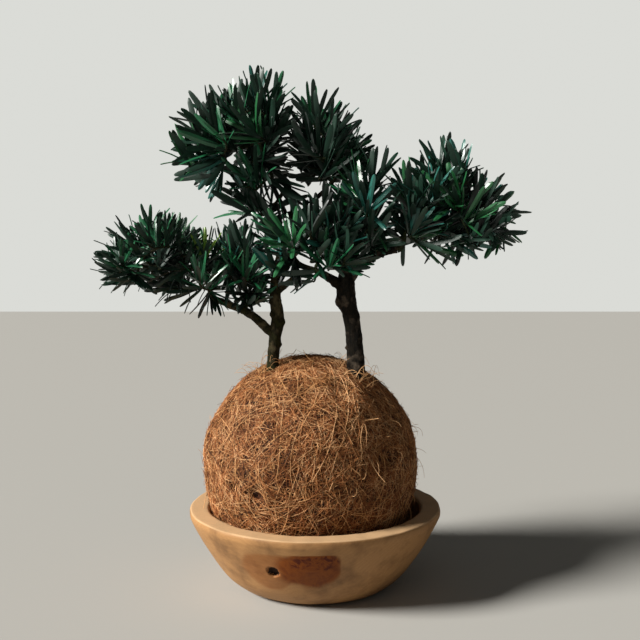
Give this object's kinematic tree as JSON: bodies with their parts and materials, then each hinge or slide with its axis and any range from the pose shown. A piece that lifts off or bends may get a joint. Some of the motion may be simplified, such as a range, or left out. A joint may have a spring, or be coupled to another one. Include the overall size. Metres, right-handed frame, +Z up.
{
  "type": "potted podocarpus",
  "caption": "Small two-stemmed podocarpus with leafy pads, its roots wrapped in a ball of coconut fibre, standing in a carved wooden bowl.",
  "frame": {"origin": "centre of the bowl's flat underside", "axes": "+Z up the plant, -Y towards the viewer, +X to the viewer's right"},
  "size_m": [0.4122, 0.25, 0.5048],
  "materials": {
    "bowl_wood": "sanded and oiled pale wood",
    "coconut_fibre": "rough matted coconut fibre",
    "bark": "rough dark bark",
    "leaf": "leathery, half gloss"
  },
  "bodies": {
    "root": {"wooden_bowl": "bowl_wood", "coir_ball": "coconut_fibre", "left_trunk": "bark", "right_trunk": "bark", "left_bough": "bark", "inner_bough": "bark", "top_right_bough": "bark", "middle_bough": "bark", "right_bough": "bark", "left_outer_mass": "leaf", "left_inner_mass": "leaf", "middle_mass": "leaf", "right_inner_mass": "leaf", "right_outer_mass": "leaf", "top_left_mass": "leaf", "top_right_mass": "leaf"}
  },
  "joints": []
}
